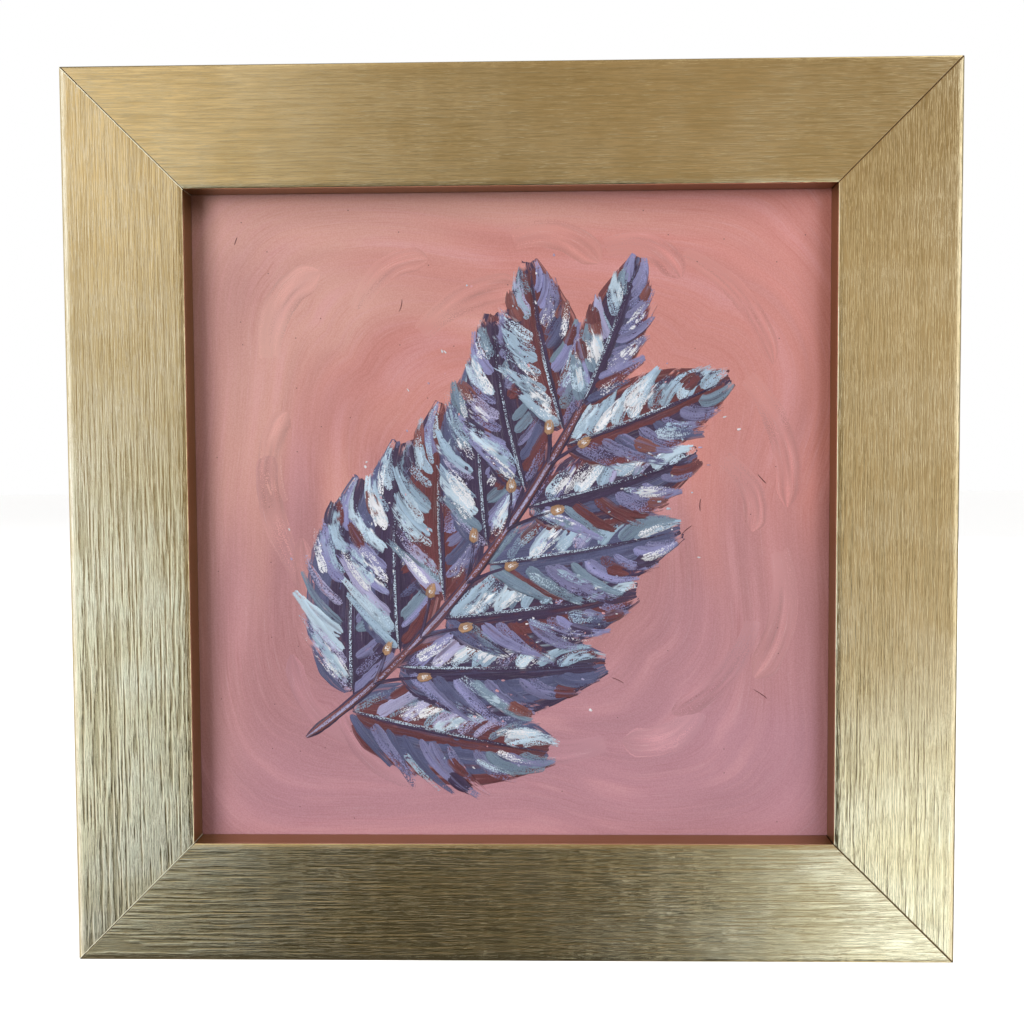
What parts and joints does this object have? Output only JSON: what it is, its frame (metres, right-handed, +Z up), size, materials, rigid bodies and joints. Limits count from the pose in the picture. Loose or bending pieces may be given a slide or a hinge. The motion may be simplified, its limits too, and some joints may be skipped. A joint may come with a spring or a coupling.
{
  "type": "framed painting",
  "caption": "Small wall-hung painted hardboard panel in a mitred wooden frame with brushed champagne-gold foil, held by steel tabs and hung by a sawtooth strip.",
  "frame": {"origin": "the middle notch of the sawtooth hanger on the back of the top rail, where the wall's nail carries the frame", "axes": "+Z up, +X to the right as seen from the front, +Y from the front towards the wall; the painted face looks along -Y"},
  "size_m": [0.1954, 0.0217, 0.1979],
  "materials": {
    "champagne_foil": "brushed champagne-gold foil on wood, raw wood behind",
    "oil_paint": "oil paint on hardboard, brown on the back",
    "bright_steel": "bright rolled steel",
    "zinc_plate": "zinc-plated pressed steel",
    "clear_rubber": "satin, translucent white"
  },
  "bodies": {
    "root": {"top_rail": "champagne_foil", "bottom_rail": "champagne_foil", "left_rail": "champagne_foil", "right_rail": "champagne_foil", "painted_panel": "oil_paint", "framers_point_top_1": "bright_steel", "framers_point_top_2": "bright_steel", "framers_point_bottom_1": "bright_steel", "framers_point_bottom_2": "bright_steel", "framers_point_left_1": "bright_steel", "framers_point_left_2": "bright_steel", "framers_point_right_1": "bright_steel", "framers_point_right_2": "bright_steel", "hanger_nail_left": "bright_steel", "hanger_nail_right": "bright_steel", "sawtooth_hanger": "zinc_plate", "wall_bumper_left": "clear_rubber", "wall_bumper_right": "clear_rubber"}
  },
  "joints": []
}
